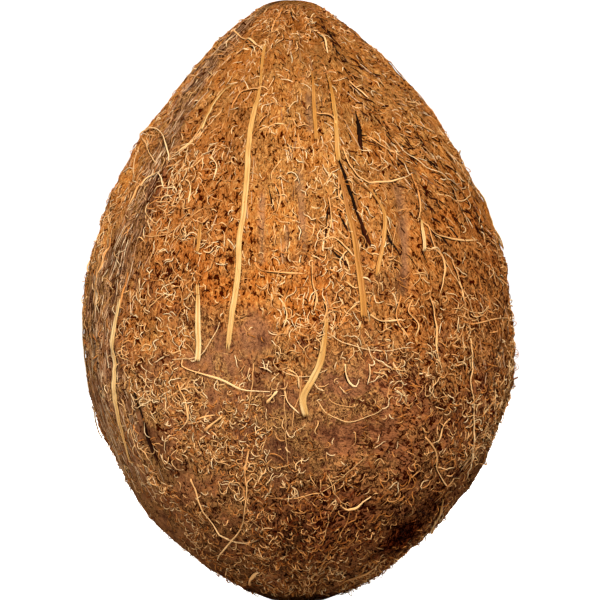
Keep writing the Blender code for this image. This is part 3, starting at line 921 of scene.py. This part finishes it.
# Bold single strands: places, radius and tone, and how far each stands off in millimetres.
strands = [
    (((17, 0.75), (19, 0.715), (24, 0.695), (35, 0.70), (41, 0.71)), 0.28, 0.74, 0.4),
    (((41, 0.71), (41, 0.68), (37, 0.63)), 0.32, 0.58, 0.3),
    (((38, 0.63), (43, 0.61), (52, 0.60), (60, 0.60)), 0.28, 0.70, 0.4),
    (((40, 0.625), (40, 0.59), (43, 0.565), (40, 0.51)), 0.30, 0.66, 0.4),
    (((47, 0.57), (48, 0.54), (48, 0.50)), 0.26, 0.68, 0.3),
    (((28, 0.77), (32, 0.753), (41, 0.736)), 0.25, 0.66, 0.3),
    (((56, 0.80), (59, 0.79), (68, 0.777)), 0.24, 0.62, 0.3),
    (((46, 0.468), (52, 0.464), (60, 0.471), (70, 0.472), (80, 0.466)), 0.18, 0.68, 0.3),
    (((37, 0.52), (38, 0.465), (38, 0.42), (40, 0.39)), 0.30, 0.70, 0.4),
    (((14, 0.70), (13, 0.67), (16, 0.65)), 0.24, 0.62, 0.3),
    (((10, 0.67), (10, 0.63), (8, 0.60)), 0.26, 0.66, 0.4),
    (((11, 0.655), (15, 0.64), (16.5, 0.61)), 0.26, 0.66, 0.3),
    (((8, 0.60), (10, 0.603), (14, 0.583), (16, 0.57)), 0.26, 0.74, 0.4),
    (((10, 0.586), (13, 0.57), (14, 0.55)), 0.26, 0.70, 0.3),
    (((-7, 0.695), (-5, 0.675), (-6, 0.65)), 0.28, 0.58, 0.3),
    (((-12, 0.565), (-10, 0.553), (-4, 0.549), (2, 0.546)), 0.26, 0.62, 0.4),
    (((4, 0.565), (4, 0.53), (5, 0.51), (4, 0.485)), 0.26, 0.66, 0.3),
    (((7, 0.51), (7.5, 0.485), (6, 0.465)), 0.28, 0.60, 0.3),
    (((-4, 0.50), (-3, 0.48), (-4, 0.46)), 0.26, 0.78, 0.4),
    (((11, 0.465), (13, 0.485), (16, 0.50)), 0.24, 0.68, 0.3),
    (((19, 0.48), (22, 0.47), (28, 0.472)), 0.26, 0.78, 0.4),
    (((-77, 0.762), (-72, 0.778), (-64, 0.781), (-56, 0.768), (-50, 0.745), (-47, 0.728)), 0.22, 0.84, 1.0),
    (((-74, 0.767), (-67, 0.757), (-61, 0.743), (-56, 0.73)), 0.19, 0.72, 0.7),
    (((-58, 0.69), (-56, 0.705), (-51, 0.711), (-47, 0.70), (-45, 0.685)), 0.21, 0.88, 0.8),
    (((-38, 0.70), (-35, 0.69), (-34, 0.66)), 0.24, 0.80, 0.4),
    (((-31, 0.736), (-28, 0.725), (-28, 0.70)), 0.26, 0.85, 0.4),
    (((-39, 0.783), (-42, 0.757), (-47, 0.743)), 0.26, 0.78, 0.4),
    (((-33, 0.736), (-35, 0.72), (-40, 0.713)), 0.24, 0.76, 0.3),
    (((-58, 0.70), (-61, 0.66)), 0.30, 0.66, 0.3),
    (((-66, 0.605), (-67, 0.555), (-69, 0.54)), 0.30, 0.62, 0.3),
    (((-31.5, 0.415), (-32.5, 0.40), (-31, 0.391), (-22, 0.376), (-15, 0.359), (-8, 0.355)), 0.31, 0.82, 0.5),
    (((-9, 0.337), (-6, 0.356)), 0.42, 0.80, 0.6),
    (((-28, 0.29), (-22, 0.314)), 0.38, 0.70, 0.5),
    (((-4, 0.358), (-3.5, 0.343), (-2.5, 0.333), (0, 0.319)), 0.24, 0.84, 0.4),
    (((-3, 0.391), (-1.5, 0.388), (-0.3, 0.38), (0, 0.36)), 0.25, 0.78, 0.4),
    (((12.5, 0.40), (12.7, 0.384), (13.8, 0.369), (15.6, 0.363), (16.4, 0.375)), 0.28, 0.88, 0.5),
    (((19, 0.40), (19.3, 0.383), (18.8, 0.366)), 0.20, 0.86, 0.3),
    (((-15, 0.26), (-17, 0.22), (-17, 0.19), (-21, 0.137), (-30, 0.104), (-49, 0.067)), 0.24, 0.74, 0.5),
    (((-36, 0.21), (-35, 0.164), (-33, 0.124), (-29, 0.102), (-17, 0.107)), 0.24, 0.80, 0.5),
    (((-12, 0.177), (4, 0.184), (11, 0.20), (21, 0.25)), 0.14, 0.66, 0.3),
    (((15.5, 0.168), (17.5, 0.162), (21, 0.163), (26, 0.18)), 0.34, 0.76, 0.6),
    (((-34, 0.37), (-32, 0.34), (-32, 0.31), (-36, 0.29)), 0.30, 0.74, 0.5),
    (((-35, 0.30), (-28, 0.312), (-24, 0.316)), 0.26, 0.66, 0.3),
    (((-47, 0.025), (-24, 0.052)), 0.50, 0.72, 0.6),
    (((40, 0.025), (48, 0.047), (56, 0.072)), 0.34, 0.62, 0.5),
    (
        ((50.5, 0.44), (51.5, 0.40), (51.8, 0.366), (54, 0.33),
         (57, 0.295), (60.5, 0.262), (66, 0.228), (74, 0.196)),
        0.26, 0.84, 0.5,
    ),
    (((28, 0.51), (26.5, 0.487), (27, 0.465), (29.5, 0.44)), 0.26, 0.60, 0.4),
    (((31, 0.505), (29.5, 0.485), (32, 0.465), (31, 0.445)), 0.22, 0.68, 0.3),
    (((-52.6, 0.548), (-53, 0.52), (-53.3, 0.486)), 0.30, 0.52, 0.3),
    (((38, 0.28), (43.5, 0.255), (47, 0.225), (54, 0.20), (62, 0.192)), 0.22, 0.74, 0.4),
    (((45, 0.31), (43, 0.295), (43, 0.268)), 0.24, 0.72, 0.4),
    (((-59, 0.945), (-35, 0.932), (-20, 0.913)), 0.28, 0.76, 0.4),
    (((20, 0.952), (25, 0.937), (24, 0.908)), 0.26, 0.78, 0.4),
    (((-28, 0.817), (-28, 0.835), (-23, 0.847), (-15, 0.85), (-12, 0.842)), 0.22, 0.62, 0.7),
    (((-14, 0.78), (-10, 0.787), (-4, 0.788)), 0.22, 0.72, 0.4),
    (((29, 0.86), (32, 0.847), (36, 0.833)), 0.24, 0.74, 0.3),
    (((-15, 0.984), (-19, 0.964), (-19, 0.944)), 0.26, 0.56, 0.3),
    (((9, 0.813), (15, 0.80), (17, 0.778)), 0.22, 0.70, 0.6),
    (((-8, 0.70), (-8, 0.713), (-5, 0.733)), 0.20, 0.68, 0.3),
]
strandLook = {"backCount": 60, "backStart": 80, "backEnd": 280, "spacing": 0.8, "sides": 5, "seed": 12}

# Bold dark gaps, placed in the same way, with their widest radius: the gaps are real, their near-black fill
# is painted shade.
gaps = [
    (((27.5, 0.814), (26.4, 0.787), (25.3, 0.765), (24, 0.742)), 1.0),
    (((14.8, 0.73), (16.5, 0.69), (18.5, 0.65), (19.7, 0.62), (21, 0.59)), 0.9),
    (((-48.6, 0.352), (-48.3, 0.32), (-48.2, 0.286), (-48, 0.259), (-47.4, 0.237)), 0.8),
    (((52, 0.775), (53, 0.75)), 0.5),
    (((49, 0.735), (52, 0.706)), 0.5),
    (((56, 0.69), (57, 0.64)), 0.45),
    (((26, 0.607), (29, 0.574)), 0.6),
    (((42, 0.617), (47, 0.591)), 0.45),
    (((64, 0.66), (70, 0.63)), 0.5),
    (((9.3, 0.65), (8, 0.603)), 0.4),
    (((9.5, 0.583), (12, 0.566), (14, 0.556)), 0.65),
    (((12.5, 0.64), (14.5, 0.613)), 0.4),
    (((19, 0.616), (20, 0.587)), 0.5),
    (((-9, 0.69), (-7, 0.65)), 0.3),
    (((-1, 0.98), (2, 0.96)), 0.35),
    (((-40, 0.931), (-22, 0.91)), 0.35),
]


def backStraps():
    draw = random.Random(strapLook["seed"])
    start, end, count = strapLook["backStart"], strapLook["backEnd"], strapLook["backCount"]
    found = []
    for index in range(count):
        azimuth = start + (end - start) * (index + draw.uniform(0.2, 0.8)) / count
        top = strapLook["backTops"][index % 3] + draw.uniform(-0.05, 0.05)
        length = draw.uniform(0.13, 0.34)
        drift = draw.uniform(-7, 7)
        middle, low = (azimuth + drift, top - length * 0.5), (azimuth + drift * 0.6, top - length)
        width = strapLook["backWidth"] * draw.uniform(0.85, 1.2)
        found.append((((azimuth, top), middle, low), width, draw.uniform(0.6, 0.85)))
    return found


def smoothRoute(places, spacing):
    # Points about so far apart on one smooth curve through the given places.
    padded = np.radians([each[0] for each in places]), surface.upOf([each[1] for each in places])
    ends = [np.concatenate(([each[0]], each, [each[-1]])) for each in padded]
    route = []
    for index in range(len(places) - 1):
        before, start, end, after = (np.array([each[index + k] for each in ends]) for k in range(4))
        local = float(np.interp(start[1], surface.up, surface.radius))
        apart = math.hypot((end[1] - start[1]) * surface.length, (end[0] - start[0]) * local)
        steps = max(2, round(apart / spacing))
        for step in range(steps):
            u = step / steps
            curve = u * (end - before) + u**2 * (2 * before - 5 * start + 4 * end - after)
            curve = curve + u**3 * (3 * start - before - 3 * end + after)
            route.append(start + curve / 2)
    route.append(np.array([each[-1] for each in padded]))
    return np.array(route).T


def backStrands():
    draw = random.Random(strandLook["seed"])
    found = []
    for _ in range(strandLook["backCount"]):
        azimuth = draw.uniform(strandLook["backStart"], strandLook["backEnd"])
        share = draw.uniform(0.06, 0.93)
        heading, turn = draw.uniform(0, fullTurn), draw.uniform(-0.9, 0.9)
        reach = draw.uniform(0.012, 0.03)
        places = [(azimuth, share)]
        for _ in range(draw.randint(1, 3)):
            wide = math.degrees(nutHeight / float(np.interp(share, surface.share, surface.radius)))
            azimuth, share = azimuth + reach * math.sin(heading) * wide, share - reach * math.cos(heading)
            places.append((azimuth, min(max(share, 0.03), 0.95)))
            heading += turn
        look = [draw.uniform(*limits) for limits in ((0.24, 0.36), (0.58, 0.92), (0.3, 0.7))]
        found.append((tuple(places), *look))
    return found


def makeStrand(places, radius, tone, lift):
    # One bold strand, sunk at both ends, thinner at its tip.
    azimuth, up = smoothRoute(places, strandLook["spacing"] * mm)
    along = np.linspace(0, 1, len(azimuth))
    point, normal = surface.place(azimuth, up, (lift * np.sin(math.pi * (0.1 + 0.8 * along)) - 0.1) * mm)
    uneven = 0.75 + 0.25 * np.sin(9 * along + 30 * radius)
    widths = radius * mm * uneven * np.clip(1.15 - along**4 * 0.6, 0.5, 1)
    tones = clipTone(tone + 0.12 * (along - 0.5))
    return point[None], normal[None], widths[None], strandLook["sides"], tones[None]


def makeShadeSliver(places, radius, shift=0.0, lift=0.07, tone=0.0, skew=1):
    # A dark sliver of painted shade laid through places, as in a gash, or shifted to lie beside the strand or
    # strap that it belongs to as its painted shadow.
    azimuth, up = smoothRoute(places, strandLook["spacing"] * mm)
    along = np.linspace(0, 1, len(azimuth))
    azimuth = azimuth - shift * mm / np.interp(up, surface.up, surface.radius)
    point, normal = surface.place(azimuth, up - 0.25 * abs(shift) * mm / surface.length, lift * mm)
    uneven = 0.76 + 0.24 * np.sin(7 * along + 40 * radius + places[0][0])
    widths = radius * mm * uneven * np.sin(math.pi * (0.04 + 0.92 * along**skew)) ** 0.6
    return point[None], normal[None], widths[None], 4, np.full((1, len(along)), tone)


def makeStrap(draw, places, width, tone):
    # A flat strap is a row of thin strands side by side, which part a little at the cut end.
    azimuth, up = smoothRoute(places, strapLook["spacing"] * mm)
    stations = len(azimuth)
    along = np.linspace(0, 1, stations)
    radius = np.interp(up, surface.up, surface.radius)
    count = strapLook["strands"]
    narrow = strapLook["narrow"] + (1 - strapLook["narrow"]) * smoothStep(along, 0.08, 0.45)
    gap = width * mm / count
    batches = []
    for strand in range(count):
        side = (strand - (count - 1) / 2) * gap * narrow
        waver = np.convolve(draw.normal(0, 1, stations + 8), np.ones(9) / 9, "valid") * 0.3 * gap
        spread = 1 + 0.4 * np.clip((along - 0.93) / 0.07, 0, 1) * draw.uniform(-0.5, 1)
        lift = (strapLook["lift"] + strapLook["tipLift"] * along**2 + 0.08 * math.cos(strand * 2.4)) * mm
        lift = lift - 0.6 * mm * np.clip(1 - along / 0.08, 0, 1)
        point, normal = surface.place(azimuth + (side * spread + waver) / radius, up, lift)
        shortened = 1 - 0.04 * draw.uniform(0, 1)
        taper = np.clip((shortened - along) / 0.03 + 0.15, 0.15, 1) * np.clip(along / 0.05 + 0.4, 0.4, 1)
        widths = gap * 0.80 * taper * narrow
        streaks = np.convolve(draw.normal(0, 1, stations + 2), np.ones(3) / 3, "valid") * 0.06
        tones = tone + draw.normal(0, 0.06) + 0.16 * tone * (smoothStep(along, 0.08, 0.5) - 1) + streaks
        batches.append((point[None], normal[None], widths[None], 6, clipTone(tones)[None]))
    return batches


shellColours = {
    "felt": (
        (0.36, srgb(84, 26, 1)),
        (0.41, srgb(130, 62, 15)),
        (0.455, srgb(178, 106, 44)),
        (0.53, srgb(204, 134, 66)),
        (0.61, srgb(232, 178, 106)),
    ),
    "redder": (0.92, 0.70, 0.46),
    # Colours of painted shade in the gaps and hollows, darker near the foot.
    "gaps": (srgb(28, 8, 2), srgb(66, 18, 0)),
    "curls": (srgb(158, 106, 62), srgb(230, 172, 102)),
    "skin": (srgb(110, 70, 50), srgb(170, 114, 76)),
    "skinSpots": srgb(168, 104, 52),
    "skinBelow": (0.70, 0.64, 0.62),
    "highSkin": (srgb(146, 94, 60), srgb(222, 164, 112)),
    "worn": (0.78, 0.81, 0.92),
    "seam": (srgb(42, 18, 10), srgb(156, 103, 66)),
    "seamThreads": srgb(196, 150, 114),
    # Multiplied in over the darker quarters, partly the coir's colour and partly painted shade.
    "shaded": (0.36, 0.05, 0.0),
}


def shellMaterial():
    paint = Paint("coirFelt")
    colours = shellColours
    grain, brushed = paint.reading("grain", "Vector"), paint.reading("brushed", "Vector")
    worn, raised = paint.reading("worn"), paint.reading("raised")
    share, suture, shade = paint.reading("share"), paint.reading("suture"), paint.reading("shade")
    body = paint.node("TexCoord")["Object"]
    mottle = paint.noise(body, 300, 4, 0.62, 1.0)
    broad = paint.noise(body, 55, 3, 0.6, 0.8)
    pits = paint.noise(body * (1, 1, 0.7), 900, 2, 0.6, 0.7)
    dashes = paint.noise(brushed * (1, 1, 0.40), 62, 2, 0.58, 1.6)
    fine = paint.noise(brushed * (1, 1, 0.45), 150, 2, 0.6, 1.2)
    lines = paint.noise(grain * (1, 1, 0.06), 105, 3, 0.66, 0.2)
    lower = paint.between(share + (broad - 0.5) * 0.7 + (mottle - 0.5) * 0.3, 0.56, 0.32)

    # Tiny curls in the felt are thin lines along the middle of two noises, each with a painted shadow beside
    # it.
    thin = 0.075
    tangles, shadows = [], []
    for index, (scale, sway) in enumerate(((430, 2.2), (720, 1.6))):
        shifted = body + (0.31 * index, 0.17 * index, 0.23 * index)
        field = paint.noise(shifted * (1, 1, 0.7), scale, 1, 0.4, sway)
        tangles.append(1 - paint.between(abs(field - 0.5), thin * 0.35, thin))
        beside = paint.between(field, 0.5 + thin * 0.6, 0.5 + thin)
        shadows.append(beside - paint.between(field, 0.5 + thin * 1.8, 0.5 + thin * 3))
    tangle, shadow = tangles[0].atLeast(tangles[1]), shadows[0].atLeast(shadows[1])
    crowd = paint.between(paint.noise(body, 110, 2, 0.5, 0.5), 0.44, 0.56)
    curly = crowd * (0.55 + lower * 0.45)

    # Darker towards the foot for the gaps, curls and skin: partly the skin's own browner colour, partly
    # painted shade on the underside.
    dim = paint.between(share, 0.0, 0.42)
    dark = paint.mix(dim, *colours["gaps"])
    strokes = dashes * 0.5 + fine * 0.3 + mottle * 0.2
    felt = paint.node("ValToRGB", {"stops": colours["felt"]}, {"Fac": strokes})["Color"]
    redness = paint.between(paint.noise(body, 24, 3, 0.6, 0.6), 0.50, 0.64)
    felt = paint.mix(redness * 0.55, felt, paint.mix(1.0, felt, colours["redder"], "MULTIPLY"))
    skin = paint.mix(paint.between(broad * 0.5 + mottle * 0.5, 0.40, 0.60), *colours["skin"])
    skin = paint.mix(paint.between(mottle, 0.54, 0.66) * 0.6, skin, colours["skinSpots"])
    skin = paint.mix(dim, paint.mix(1.0, skin, colours["skinBelow"], "MULTIPLY"), skin)
    skin = paint.mix(paint.between(share, 0.50, 0.58), skin, paint.mix(mottle, *colours["highSkin"]))
    skin = paint.mix(worn * 0.7, skin, paint.mix(1.0, skin, colours["worn"], "MULTIPLY"))
    colour = paint.mix((lower * 0.85).atLeast(worn * 0.9), felt, skin)
    seam = paint.mix(paint.between(share, 0.52, 0.40), *colours["seam"])
    band = paint.mix(paint.between(lines, 0.47, 0.61), seam, colours["seamThreads"])
    colour = paint.mix(suture * 0.85, colour, band)
    colour = paint.mix(shadow * curly * 0.75, colour, dark)
    colour = paint.mix(tangle * curly * 0.55, colour, paint.mix(dim, *colours["curls"]))
    # Painted shade in the felt's hollows and pits: dark specks, deeper in the darker quarters and on the
    # lower half, fewer where the felt stands up.
    moreHollowShade = (1 - shade) * 0.10 + lower * 0.012
    hollowShade = paint.between(strokes - moreHollowShade, 0.422, 0.388)
    hollowShade = hollowShade.atLeast(paint.between(pits + raised * 0.01 - moreHollowShade, 0.396, 0.358))
    colour = paint.mix(hollowShade * (1 - worn * 0.65), colour, dark)
    # The darker quarters made darker and redder: partly the coir's colour, partly painted shade.
    colour = paint.mix(1 - shade, colour, paint.mix(1.0, colour, colours["shaded"], "MULTIPLY"))

    height = mottle * 1.2 + strokes * 3.2 + pits * 0.5 + lines * suture * 2.0
    height = height + tangle * curly * 0.5 - hollowShade * 0.4
    normal = paint.node("Bump", None, {"Height": height, "Strength": 1.0, "Distance": 0.6 * mm})["Normal"]
    rough = 0.88 - worn * 0.22 + (fine - 0.5) * 0.12
    look = {"Base Color": colour, "Roughness": rough, "Normal": normal, "Specular IOR Level": 0.0}
    return paint.finish(look)


# Each fibre material's colours by tone, from the darkest to the palest, its roughness and its gloss.
fibreLooks = {
    "coirFibril": (
        # The darkest tones colour the slivers of painted shade in the gaps and beside strands and straps.
        (0.0, srgb(22, 9, 3)),
        (0.05, srgb(62, 19, 2)),
        (0.18, srgb(98, 36, 6)),
        (0.30, srgb(142, 78, 28)),
        (0.5, srgb(192, 123, 60)),
        (0.75, srgb(222, 172, 114)),
        (1.0, srgb(236, 206, 160)),
        0.80,
        0.05,
    ),
    "coirStrap": (
        (0.0, srgb(88, 46, 10)),
        (0.3, srgb(146, 88, 28)),
        (0.55, srgb(176, 120, 50)),
        (0.8, srgb(196, 154, 92)),
        (1.0, srgb(214, 184, 134)),
        0.66,
        0.3,
    ),
    "coirThread": (
        (0.0, srgb(44, 20, 10)),
        (0.28, srgb(108, 68, 44)),
        (0.5, srgb(164, 120, 86)),
        (0.75, srgb(204, 166, 128)),
        (1.0, srgb(230, 202, 164)),
        0.80,
        0.06,
    ),
}


def fibreMaterial(name):
    # A fibre's colour follows its tone, and pales a little towards its tip.
    paint = Paint(name)
    *stops, rough, gloss = fibreLooks[name]
    tone = paint.reading("tone")
    along = paint.reading("along")
    colour = paint.node("ValToRGB", {"stops": stops}, {"Fac": tone + (along - 0.5) * 0.08})["Color"]
    return paint.finish({"Base Color": colour, "Roughness": rough - tone * 0.2, "Specular IOR Level": gloss})


stage = {
    "distance": 1.3,
    "frameHeight": 149.2 * mm,
    "cameraRise": 0.6,
    "sensor": 36,
    "paper": 0.9,
    "paperSize": 3.0,
    "paperBend": 0.5,
    "paperDrop": 0.0002,
    "glow": 1.0,
    "bounce": 0.58,
    "skyLight": 0.045,
    "skyColour": (1, 0.84, 0.66, 1),
}

# Each lamp's place and size in metres, its power in watts and its colour.
lamps = {
    "key": ((0.12, -1.0, 0.80), 0.09, 23.4, (1, 0.95, 0.86)),
    "fill": ((-1.2, -0.75, 0.5), 1.0, 6.2, (1, 0.90, 0.77)),
    "low": ((-0.75, -1.1, 0.06), 0.8, 3.8, (1, 0.90, 0.76)),
    "back": ((-0.2, 1.4, 0.9), 0.7, 30, (1, 0.93, 0.82)),
}


def grey(level):
    return (level, level, level, 1)


def makeStage():
    # A sweep of white paper. It glows a little where it is seen, and throws back less light than it shows.
    size, bend, steps = stage["paperSize"], stage["paperBend"], 16
    outline = [(-size, 0.0)]
    for step in range(steps + 1):
        turn = step / steps * math.pi / 2
        outline.append((size - bend + bend * math.sin(turn), bend - bend * math.cos(turn)))
    outline.append((size, size))
    points = [(x, y, z - stage["paperDrop"]) for x in (-size, size) for y, z in outline]
    count = len(outline)
    quads = np.array([(k, k + count, k + 1 + count, k + 1) for k in range(count - 1)])
    sweep = meshPiece("sweep", points, quads)
    paint = Paint("paper")
    seen = paint.node("LightPath")["Is Camera Ray"]
    dull = paint.node("BsdfDiffuse", None, {"Color": grey(stage["bounce"])})["BSDF"]
    look = {"Base Color": grey(stage["paper"]), "Roughness": 0.9, "Specular IOR Level": 0.1}
    look.update({"Emission Color": grey(1), "Emission Strength": stage["glow"]})
    shown = paint.node("BsdfPrincipled", None, look)["BSDF"]
    both = paint.node("MixShader", None, {0: seen, 1: dull, 2: shown})["Shader"]
    paint.tree.links.new(both.socket, paint.output.inputs["Surface"])
    sweep.data.materials.append(paint.material)


def putIn(name, data, place, away):
    # An object that looks back along the way it is from the middle of the nut.
    holder = bpy.data.objects.new(name, data)
    holder.location = place
    holder.rotation_euler = (-away).to_track_quat("-Z", "Y").to_euler()
    bpy.context.scene.collection.objects.link(holder)
    return holder


def makeLights():
    for name, (place, size, power, colour) in lamps.items():
        lamp = bpy.data.lights.new(name, "AREA")
        lamp.size = size
        lamp.energy = power
        lamp.color = colour
        putIn(name, lamp, place, Vector(place) - middleOfNut)
    world = bpy.data.worlds.new("studio")
    world.use_nodes = True
    tree = world.node_tree
    tree.nodes.clear()
    seen, both = tree.nodes.new("ShaderNodeLightPath"), tree.nodes.new("ShaderNodeMixShader")
    tree.links.new(seen.outputs["Is Camera Ray"], both.inputs[0])
    skies = (stage["skyLight"], stage["skyColour"]), (stage["glow"], grey(1))
    for place, (strength, colour) in enumerate(skies, 1):
        sky = tree.nodes.new("ShaderNodeBackground")
        sky.inputs["Color"].default_value = colour
        sky.inputs["Strength"].default_value = strength
        tree.links.new(sky.outputs[0], both.inputs[place])
    tree.links.new(both.outputs[0], tree.nodes.new("ShaderNodeOutputWorld").inputs["Surface"])
    bpy.context.scene.world = world


def makeCamera():
    lens = bpy.data.cameras.new("camera")
    lens.sensor_width = stage["sensor"]
    lens.lens = stage["sensor"] * stage["distance"] / stage["frameHeight"]
    lens.clip_start = 0.01
    rise = math.radians(stage["cameraRise"])
    away = Vector((0, -math.cos(rise), math.sin(rise))) * stage["distance"]
    bpy.context.scene.camera = putIn("camera", lens, middleOfNut + away, away)
    bpy.context.scene.view_settings.view_transform = "Standard"


makeCamera()
makeStage()
makeLights()
print("stage, light and camera set")

makeShell(shellMaterial())
print("shell made")
fibrilMaterial, strapMaterial = fibreMaterial("coirFibril"), fibreMaterial("coirStrap")
fibrilBatch, curlBatch = growFibrils(), growCurls()
dealOut("coirFibrils", fibrilBatch, fibrils["pieces"], fibrilMaterial)
fibrePiece("coirThreads", [growThreads()], fibreMaterial("coirThread"))
dealOut("coirCurls", curlBatch, curls["pieces"], fibrilMaterial)
allStraps, allStrands = straps + backStraps(), strands + backStrands()
# Dark slivers: cracks that are partly painted shade, and painted shadows under pale fibres, in the gashes and
# beside straps and strands.
gapAndShadowBatches = [growCracks(), shadowsOf(fibrilBatch, 3), shadowsOf(curlBatch, 2)]
gapAndShadowBatches += [makeShadeSliver(places, radius, lift=0.2, skew=1.7) for places, radius in gaps]
# Painted shadows: a dark sliver beside every strap and strand.
gapAndShadowBatches += [makeShadeSliver(places, width * 0.27, width * 0.42, tone=0.04) for places, width, _ in allStraps]
gapAndShadowBatches += [makeShadeSliver(places, radius, radius * 0.9) for places, radius, _, _ in allStrands]
fibrePiece("coirGapsAndShadows", gapAndShadowBatches, fibrilMaterial, cracks["flatness"])
fibrePiece("coirStrands", [growHairs()] + [makeStrand(*each) for each in allStrands], fibrilMaterial)
strapDraw = np.random.default_rng(strapLook["seed"])
strapBatches = []
for strap in allStraps:
    strapBatches += makeStrap(strapDraw, *strap)
fibrePiece("coirStraps", strapBatches, strapMaterial, strapLook["flatness"])
